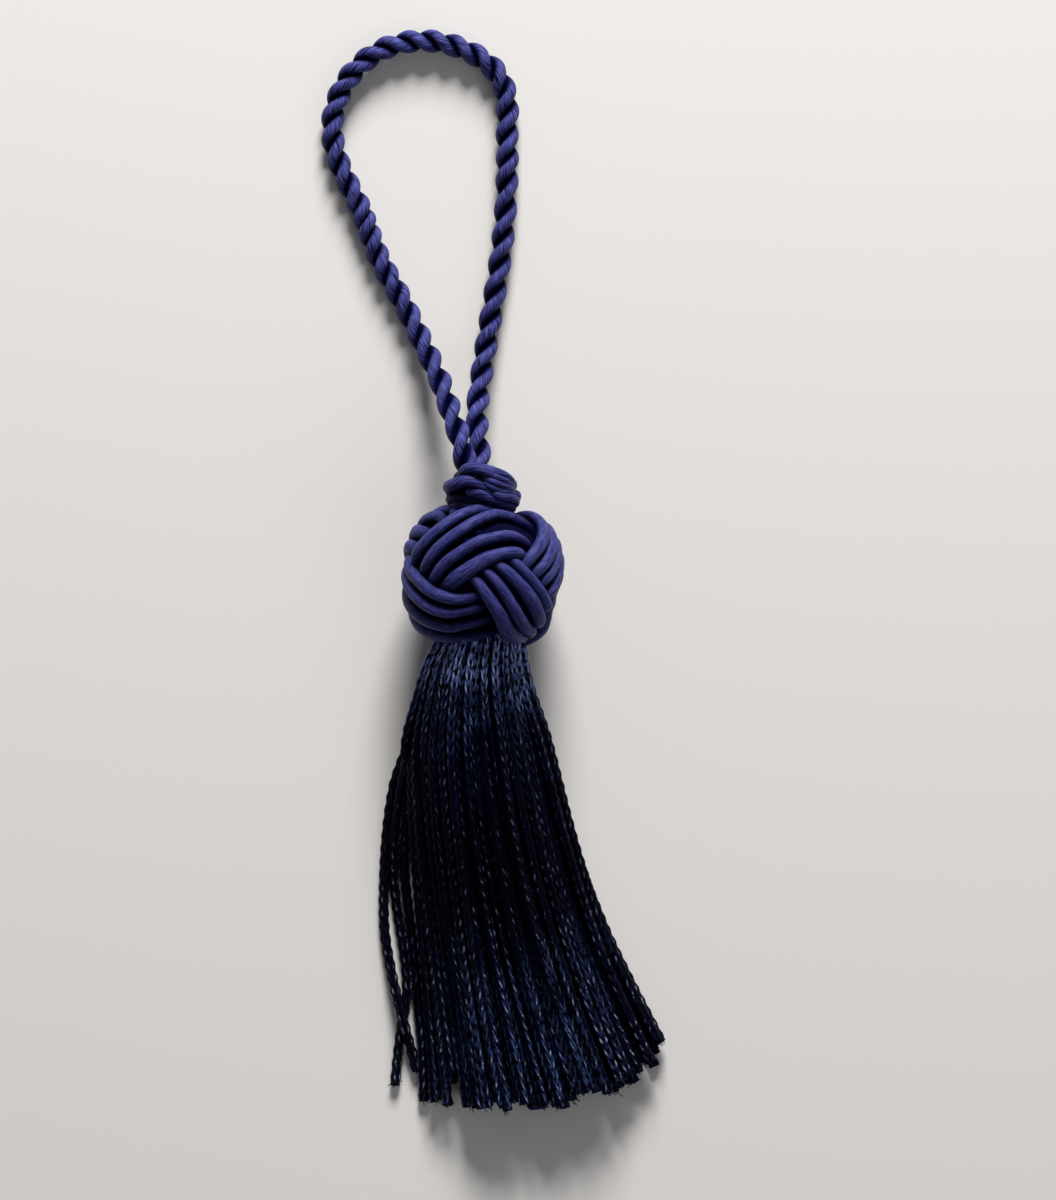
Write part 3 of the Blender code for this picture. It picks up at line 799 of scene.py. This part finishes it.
def stitch_legs(material, width, sharpness):
    """Height from 0 to 1 of the two legs of each stitch, which start wide apart and close to a V."""
    uv = add_node(material, "UVMap", {}, uv_map="UVMap")
    along = add_node(material, "SeparateXYZ", {0: uv}, out=1)
    face = add_node(material, "Attribute", {}, out="Fac", attribute_name="face")
    shift = add_node(material, "Attribute", {}, out="Fac", attribute_name="shift")
    stitches = add_node(material, "Math", {0: along, 1: MM / STITCH, 2: shift}, operation="MULTIPLY_ADD")
    rise = add_node(material, "Math", {0: stitches}, operation="FRACT")
    legs = []
    for stitch in (0, 1):
        share = add_node(material, "Math", {0: rise, 1: stitch}, operation="ADD")
        share = add_node(material, "Math", {0: share, 1: LEG_LENGTH}, operation="DIVIDE", use_clamp=True)
        inward = {0: share, 1: LEG_TO - LEG_FROM, 2: LEG_FROM}
        leg = add_node(material, "Math", inward, operation="MULTIPLY_ADD")
        off = add_node(material, "Math", {0: face, 1: leg}, operation="SUBTRACT")
        off = add_node(material, "Math", {0: off, 1: width}, operation="DIVIDE")
        off = add_node(material, "Math", {0: off, 1: off}, **MULTIPLY)
        crest = add_node(material, "Math", {0: 1.0, 1: off}, operation="SUBTRACT", use_clamp=True)
        bow = add_node(material, "Math", {0: share, 1: math.pi}, **MULTIPLY)
        bow = add_node(material, "Math", {0: bow}, operation="SINE")
        bow = add_node(material, "Math", {0: bow, 1: sharpness}, operation="POWER")
        legs.append(add_node(material, "Math", {0: crest, 1: bow}, **MULTIPLY))
    return add_node(material, "Math", {0: legs[0], 1: legs[1]}, operation="MAXIMUM")


# %% [markdown]
# ### Where the strands run
#
# A tassel is bound tight at its root and lies in a fan. The strands start on a staggered grid in the round
# root, fall to the floor and come to rest level on it, side by side. The fan's width and thickness are given
# at a few sections down its length, and every strand keeps its place between them. Three stray strands at
# the left leave the rest, so their lower parts are listed one by one.

# %% Sizes of the skirt
ROOT_RADIUS = 4.7 * MM
ROOT_TOP = -5.2 * MM
ROOT_MIDDLE = ROOT_TOP - 0.45 * MM
ROOT_COLUMN = 0.50 * MM
ROOT_ROW = 0.55 * MM
ROOT_RIM = 0.3 * MM
SKIRT_LENGTH = 47.2 * MM
SHORT_SIDE = 8.0 * MM
SHORTER_FROM = 0.15
UNEVEN_TIPS = 0.7 * MM
WANDER = 0.28 * MM
WAVES_DOWN = 5.0
WAVE_SHIFT = 40
SETTLED_FROM = 0.30
LEVEL_FROM = 0.50
LYING_MIDDLE = 1.15 * STRAND_HIGH
LOWEST_MIDDLE = 1.13 * STRAND_HIGH
SECTION_COLUMNS = ("share", "left", "right", "thick")
SKIRT_SECTIONS = [
    (0.00, -4.7, 4.6, 9.3),
    (0.06, -6.3, 4.9, 9.5),
    (0.13, -7.4, 5.6, 9.6),
    (0.27, -9.2, 7.9, 9.2),
    (0.42, -9.0, 9.6, 8.0),
    (0.60, -8.7, 12.0, 6.8),
    (0.80, -8.1, 15.6, 5.9),
    (1.00, -7.9, 20.3, 5.2),
]
STRAY_ROUTES_MM = [
    [(-8.9, -20.5, 0.9), (-9.7, -25.5, 0.5), (-10.0, -31.0, 0.5), (-9.95, -35.5, 0.5),
     (-9.4, -39.0, 0.7), (-8.6, -42.6, 1.3), (-7.8, -45.6, 1.2), (-7.1, -48.2, 0.6), (-6.7, -49.8, 0.5)],
    [(-8.1, -20.5, 2.4), (-8.75, -25.0, 1.2), (-9.05, -29.5, 0.5), (-8.75, -32.8, 0.5), (-8.2, -36.3, 0.5),
     (-7.75, -39.6, 0.5), (-7.7, -41.6, 0.5), (-8.1, -44.6, 0.5), (-8.5, -47.2, 0.5), (-8.9, -51.2, 0.5)],
    [(-7.4, -20.5, 2.6), (-7.85, -25.0, 1.6), (-8.0, -29.0, 0.7), (-7.6, -33.0, 0.5), (-7.15, -37.0, 0.5),
     (-6.85, -40.0, 0.5), (-6.55, -43.5, 0.5), (-6.2, -46.5, 0.5), (-6.0, -52.8, 0.5)],
]
# Whole columns of strands that were cut a little short, in mm.
TUFTS_CUT_SHORT = {-6: 2.4, 2: 0.8, 3: 1.5, 4: 0.9}
ROUTE_SHARES = (0.0, 0.06, 0.14, 0.24, 0.36, 0.52, 0.74, 1.0)
# How many points a stray strand keeps of the route it would have had.
STRAY_FROM = 4
SEED = 11
luck = np.random.default_rng(SEED)


# %% Where the strands run
def section_at(share):
    """The fan's left edge, right edge and thickness, in metres, at a share of its length."""
    sections = columns(SKIRT_SECTIONS, SECTION_COLUMNS)
    return {name: np.interp(share, sections["share"], sections[name]) * MM for name in SECTION_COLUMNS[1:]}


def eased(share, start, end):
    """From 0 to 1 between start and end, slow at both ends."""
    t = min(max((share - start) / (end - start), 0.0), 1.0)
    return t * t * (3 - 2 * t)


def strand_roots():
    """Where the strands are bound: a column's number, and across and up as shares of the root's radius."""
    roots = []
    reach = ROOT_RADIUS - ROOT_RIM
    last_column, last_row = int(reach / ROOT_COLUMN), int(reach / ROOT_ROW) + 1
    for column in range(-last_column, last_column + 1):
        for row in range(-last_row, last_row + 1):
            across, up = column * ROOT_COLUMN, row * ROOT_ROW
            if (row + column) % 2 == 0 and math.hypot(across, up) < reach:
                roots.append((column, across / ROOT_RADIUS, up / ROOT_RADIUS))
    return sorted(roots)


def strand_route(across, up, lowest_up, longer, wander, aside):
    """Points in mm down one strand: out of the root, down on the floor and along it."""
    route = []
    to_the_right = max(0.0, (across - SHORTER_FROM) / (1 - SHORTER_FROM))
    length = SKIRT_LENGTH - SHORT_SIDE * to_the_right**2 + longer
    dome = math.sqrt(max(0.0, 1 - across**2))
    for share in ROUTE_SHARES:
        section = section_at(share)
        placed = across + aside * eased(share, 0.0, LEVEL_FROM)
        x = section["left"] + (section["right"] - section["left"]) * (placed + 1) / 2
        x += wander * math.sin(WAVES_DOWN * share + WAVE_SHIFT * wander / MM) * share**0.5
        hanging = HEAD_CENTRE[2] + up * section["thick"] / 2
        above = up - lowest_up + (lowest_up + dome) * (1 - eased(share, SETTLED_FROM, LEVEL_FROM))
        lying = LYING_MIDDLE + above * section["thick"] / 2
        z = hanging + (lying - hanging) * eased(share, 0.0, SETTLED_FROM)
        route.append((x / MM, (ROOT_MIDDLE - length * share) / MM, z / MM))
    return route


print("strands to lay:", len(strand_roots()), "of which stray:", len(STRAY_ROUTES_MM))

# %% [markdown]
# ### The chainette's finish
#
# Chainette is knitted from bright rayon. Navy dye leaves it near black, and what the eye gets is a fine
# grain of paler V-shaped stitches with a small glint on each, with painted shade between the stitches. It
# looks pale where the strands bend over at the root, black in the middle, and blue near the tips, where the
# fan bulges towards the light. Colour ramps down the strand paint this light into the yarn's colour, as a
# painted highlight at the root and painted light near the tips, and the glints are painted too. Soft patches
# of noise break it up, because some strands turn their stitches to the light for a long way and others don't.

# %% The chainette's colours
chainette = new_material(
    "rayon_chainette", 0.5, IOR=RAYON_IOR, Specular_IOR_Level=0.06, Specular_Tint=linear("#b0b0ff")
)
# Painted shade in the gaps between the stitch legs, on the near-black yarn.
BETWEEN_STITCHES = "#01020c"
# Painted light on the yarn and on its glints, in the lit patches near the tips.
LIT_YARN = "#384874"
LIT_GLINTS = "#8e9aba"
# Dark yarn with painted light: a painted highlight where the strands bend at the root, and painted light near
# the tips.
YARN_AND_PAINTED_LIGHT_DOWN_THE_SKIRT = (
    (0.00, "#94a6ee"), (0.09, "#8ea0e6"), (0.15, "#384676"), (0.24, "#0d112c"), (0.50, "#08090f"),
    (0.75, "#0c0d18"), (0.88, "#11121e"), (1.00, "#161828"),
)
# Painted glints on the stitch legs, palest at the root.
GLINTS_DOWN_THE_SKIRT = (
    (0.00, "#bcc8e8"), (0.10, "#acb8d8"), (0.18, "#68708e"), (0.35, "#44475c"), (0.60, "#505266"),
    (0.80, "#6a6e84"), (0.90, "#787c94"), (1.00, "#80849a"),
)


def colours_down(down, stops):
    """A colour that changes from the root, at 0, to the tips, at 1."""
    colour = add_node(chainette, "ValToRGB", {0: down})
    elements = colour.node.color_ramp.elements
    while len(elements) < len(stops):
        elements.new(0.5)
    for element, (place, hex_colour) in zip(elements, stops):
        element.position = place
        element.color = linear(hex_colour)
    return colour


PATCH_COLUMNS = ("to a metre", "from", "to", "times longer along")
PATCHES = {
    "bend at the root": (330, 0.30, 0.70, 1.0),
    "lit near the tips": (900, 0.34, 0.52, 6.0),
    "yarn": (1700, 0.30, 0.58, 1.0),
    "glinting strands": (1300, 0.44, 0.62, 4.5),
    "glinting stitches": (2600, 0.38, 0.56, 1.0),
}


def patches(name):
    """A value from 0 to 1 in soft patches, some of them longer along the skirt."""
    patch = dict(zip(PATCH_COLUMNS, PATCHES[name]))
    place = add_node(chainette, "TexCoord", {}, out="Object")
    stretch = (1.0, 1 / patch["times longer along"], 1.0)
    place = add_node(chainette, "Mapping", {"Vector": place, "Scale": stretch})
    noise = add_node(chainette, "TexNoise", {"Vector": place, "Scale": patch["to a metre"], "Detail": 1.0})
    return add_node(chainette, "MapRange", {0: noise, 1: patch["from"], 2: patch["to"]})


print("colours down the skirt:", len(YARN_AND_PAINTED_LIGHT_DOWN_THE_SKIRT), "kinds of patches:", len(PATCHES))

# %% The chainette's nodes
LIT_MIDDLE = 4.3 * MM
LIT_TO, LIT_FULL = 11.0 * MM, 4.0 * MM
LIT_FROM_SHARE, LIT_WHOLLY_SHARE = 0.63, 0.88
UNEVEN_BEND = 0.10
LEG_SHARPNESS = 0.7
LEG_FAINT, LEG_WHOLE = 0.10, 0.8
GLINT_WIDTH = 0.075
GLINT_SHARPNESS = 12.0
GLINT_FAINT, GLINT_WHOLE = 0.1, 0.6
STREAK_ACROSS_MM, STREAK_ALONG_MM, STREAK_SLANT = 0.14, 1.2, 0.3
STREAKS_IN_BUMP = 0.25
STITCH_BUMP = 0.12 * MM


def near_lit_middle():
    """1 along the line where the fan bulges towards the light, and 0 to both sides of it."""
    place = add_node(chainette, "TexCoord", {}, out="Object")
    across = add_node(chainette, "SeparateXYZ", {0: place})
    off = add_node(chainette, "Math", {0: across, 1: LIT_MIDDLE}, operation="SUBTRACT")
    off = add_node(chainette, "Math", {0: off}, operation="ABSOLUTE")
    return add_node(chainette, "MapRange", {0: off, 1: LIT_TO, 2: LIT_FULL})


def dress_chainette():
    """Near-black navy yarn with small painted glints and painted light: pale where it bends at the root,
    dark, then bluer.
    """
    legs = stitch_legs(chainette, LEG_WIDTH, LEG_SHARPNESS)
    glints = stitch_legs(chainette, GLINT_WIDTH, GLINT_SHARPNESS)
    down = add_node(chainette, "Attribute", {}, out="Fac", attribute_name="down")
    bend = {0: patches("bend at the root"), 1: UNEVEN_BEND, 2: down}
    down = add_node(chainette, "Math", bend, operation="MULTIPLY_ADD")
    down = add_node(chainette, "Math", {0: down, 1: UNEVEN_BEND / 2}, operation="SUBTRACT")
    # Painted light near the tips, along the fan's bulge towards the light, in soft patches.
    near_tips = add_node(chainette, "MapRange", {0: down, 1: LIT_FROM_SHARE, 2: LIT_WHOLLY_SHARE})
    lit = add_node(chainette, "Math", {0: near_tips, 1: near_lit_middle()}, **MULTIPLY)
    lit = add_node(chainette, "Math", {0: lit, 1: patches("lit near the tips")}, **MULTIPLY)
    # Painted shade in the gaps between the stitch legs, over yarn with painted light near the root and the
    # tips.
    body = add_node(chainette, "MapRange", {0: legs, 1: LEG_FAINT, 2: LEG_WHOLE})
    body = add_node(chainette, "Math", {0: body, 1: patches("yarn")}, **MULTIPLY)
    colour_before_shade = {0: lit, 6: colours_down(down, YARN_AND_PAINTED_LIGHT_DOWN_THE_SKIRT), 7: LIT_YARN}
    colour_before_shade = add_node(chainette, "Mix", colour_before_shade, **COLOURS)
    yarn = add_node(chainette, "Mix", {0: body, 6: BETWEEN_STITCHES, 7: colour_before_shade}, **COLOURS)
    # Painted glints: pale dashes on the stitch legs, in patches.
    often = {0: patches("glinting strands"), 1: patches("glinting stitches")}
    often = add_node(chainette, "Math", often, **MULTIPLY)
    glint = add_node(chainette, "MapRange", {0: glints, 1: GLINT_FAINT, 2: GLINT_WHOLE})
    glint = add_node(chainette, "Math", {0: glint, 1: often}, **MULTIPLY)
    bright = {0: lit, 6: colours_down(down, GLINTS_DOWN_THE_SKIRT), 7: LIT_GLINTS}
    bright = add_node(chainette, "Mix", bright, **COLOURS)
    yarn = add_node(chainette, "Mix", {0: glint, 6: yarn, 7: bright}, **COLOURS)
    link_to_shader(chainette, "Base Color", yarn)
    streaks = filament_streaks(chainette, STREAK_ACROSS_MM, STREAK_ALONG_MM, STREAK_SLANT)
    height = {0: streaks, 1: STREAKS_IN_BUMP, 2: legs}
    height = add_node(chainette, "Math", height, operation="MULTIPLY_ADD")
    bump = add_node(chainette, "Bump", {"Height": height, "Distance": STITCH_BUMP, "Strength": 1.0})
    link_to_shader(chainette, "Normal", bump)


dress_chainette()
print("nodes:", len(chainette.node_tree.nodes))

# %% One strand
ROOT_SQUEEZE = 0.72
SQUEEZED_TO = 0.2
TWIST_A_MM = 0.01
LOBE_SWELL = 0.11
FACE_GROOVE, FACE_GROOVE_WIDTH = 0.1, 0.1


def make_strand(route):
    line = smooth_route(route, STITCH / RINGS_PER_STITCH)
    line[:, 2] = np.maximum(line[:, 2], LOWEST_MIDDLE)
    sleeve = make_sleeve(len(line) - 1, STRAND_SIDES)
    along = along_line(line)
    share = along / along[-1]
    ring = sleeve["ring"]
    shift = luck.uniform(0, 1)
    turned = luck.uniform(0, 1) + along / MM * luck.uniform(-TWIST_A_MM, TWIST_A_MM)
    # Half a turn is one face of the chain: 0 down its middle, 0.5 at its edges.
    face = np.abs((2 * sleeve["round"] + turned[ring]) % 1.0 - 0.5)
    lobes = LOBE_SWELL * np.sin(TURN * (along[ring] / STITCH + shift + face))
    groove = FACE_GROOVE * np.exp(-((face / FACE_GROOVE_WIDTH) ** 2))
    swell = 1 + lobes - groove
    narrow = np.interp(share, (0, SQUEEZED_TO, 1), (ROOT_SQUEEZE, 1, 1))
    points = place_on(sleeve, line, UPWARD, STRAND_WIDE * narrow, STRAND_HIGH * narrow, swell)
    tints = {"face": face, "shift": shift, "down": share[ring]}
    return make_yarn(sleeve, points, line, STRAND_WIDE, STRAND_HIGH, **tints)


# %% The skirt
def make_skirt():
    roots = strand_roots()
    yarns = []
    for number, (column, across, up) in enumerate(roots):
        lowest = min(u for c, _, u in roots if c == column)
        longer = luck.uniform(-1, 1) * UNEVEN_TIPS - TUFTS_CUT_SHORT.get(column, 0) * MM
        wander = luck.uniform(-1, 1) * WANDER
        aside = luck.uniform(-0.5, 0.5) * ROOT_COLUMN / ROOT_RADIUS
        route = strand_route(across, up, lowest, longer, wander, aside)
        if number < len(STRAY_ROUTES_MM):
            route = route[:STRAY_FROM] + STRAY_ROUTES_MM[number]
        yarns.append(make_strand(route))
    # In three pieces, so that none is too heavy.
    third = math.ceil(len(yarns) / 3)
    for part in range(3):
        piece = piece_of_sleeves(
            f"skirt_strands_{part + 1}", yarns[part * third : (part + 1) * third], chainette
        )
        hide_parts("skirt")
    return [yarn["line"] for yarn in yarns]


strand_lines = make_skirt()
print("strands:", len(strand_lines))

# %% [markdown]
# ### Frayed ends
#
# A cut strand lets go of its fibres, so each end has a little brush of them. They are far too many and too
# fine to copy. Seven short thin sleeves an end, bent and splayed at random, are enough to break the cut.

# %% Frayed ends
FIBRES_PER_END = 7
FIBRE_RINGS, FIBRE_SIDES = 4, 4
FIBRE_THICK = 0.045 * MM
FIBRE_STARTS_BACK_MM = (0.2, 0.9)
FIBRE_REACH_MM = (0.30, 0.70)
FIBRE_OFF_AXIS = (0.42, 0.1, 0.34)
FIBRE_SPLAY = (0.45, 0.1, 0.3)
FIBRE_BEND = (0.15, 0.05, 0.1)
frayed_rayon = new_material(
    "frayed_rayon", 0.6, IOR=RAYON_IOR, Specular_IOR_Level=0.1, Base_Color=linear("#1a2142")
)


def frayed_fibre(line, sleeve):
    """One loose fibre that leaves a strand just before its cut end and splays a little."""
    ahead = unit(line[-1] - line[-4])
    start = line[-1] - ahead * luck.uniform(*FIBRE_STARTS_BACK_MM) * MM
    start = start + luck.uniform(-1, 1, 3) * FIBRE_OFF_AXIS * MM
    reach = ahead * luck.uniform(*FIBRE_REACH_MM) * MM
    splay = luck.uniform(-1, 1, 3) * FIBRE_SPLAY * MM
    bend = luck.uniform(-1, 1, 3) * FIBRE_BEND * MM
    t = np.linspace(0, 1, sleeve["rings"] + 1)[:, None]
    route = start + reach * t + splay * t**2 + bend * np.sin(math.pi * t)
    route[:, 2] = np.maximum(route[:, 2], 2 * FIBRE_THICK)
    points = place_on(sleeve, route, UPWARD, FIBRE_THICK, FIBRE_THICK)
    return make_yarn(sleeve, points, route, FIBRE_THICK, FIBRE_THICK)


fibre_sleeve = make_sleeve(FIBRE_RINGS, FIBRE_SIDES)
fibres = [frayed_fibre(line, fibre_sleeve) for line in strand_lines for _ in range(FIBRES_PER_END)]
frays = piece_of_sleeves("skirt_frayed_ends", fibres, frayed_rayon)
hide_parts("skirt")

# %% [markdown]
# ## The stage
#
# A plain pale floor and soft studio light: one broad light from the loop's end, a weaker one across from
# it, and a pale sky that fills the shadows.


# %% Floor and lights
def make_floor(half_width):
    bm = bmesh.new()
    bmesh.ops.create_grid(bm, x_segments=1, y_segments=1, size=half_width)
    mesh = mesh_from(bm, "floor")
    mesh.materials.append(new_material("pale_floor", 0.8, Base_Color=linear("#e6e2dd")))
    floor = add_object("floor", mesh)


def area_light(name, place, power, size, colour):
    """A round light that faces the middle of the floor."""
    data = bpy.data.lights.new(name, "AREA")
    data.energy = power
    data.shape = "DISK"
    data.size = size
    data.color = linear(colour)[:3]
    light = add_object(name, data)
    light.location = place
    light.rotation_euler = (-Vector(place)).to_track_quat("-Z", "Y").to_euler()
    print("light:", name, "watts:", power)


SKY_STRENGTH = 0.145

make_floor(half_width=1.5)
area_light("key", place=(0.04, 0.60, 0.29), power=7.6, size=0.25, colour="#ffffff")
area_light("fill", place=(0.35, -0.30, 0.45), power=0.5, size=0.50, colour="#f4f6ff")
bpy.context.scene.view_settings.view_transform = "Standard"
world = bpy.data.worlds.new("studio")
bpy.context.scene.world = world
world.use_nodes = True
sky = world.node_tree.nodes["Background"]
sky.inputs["Color"].default_value = linear("#f2f4f8")
sky.inputs["Strength"].default_value = SKY_STRENGTH
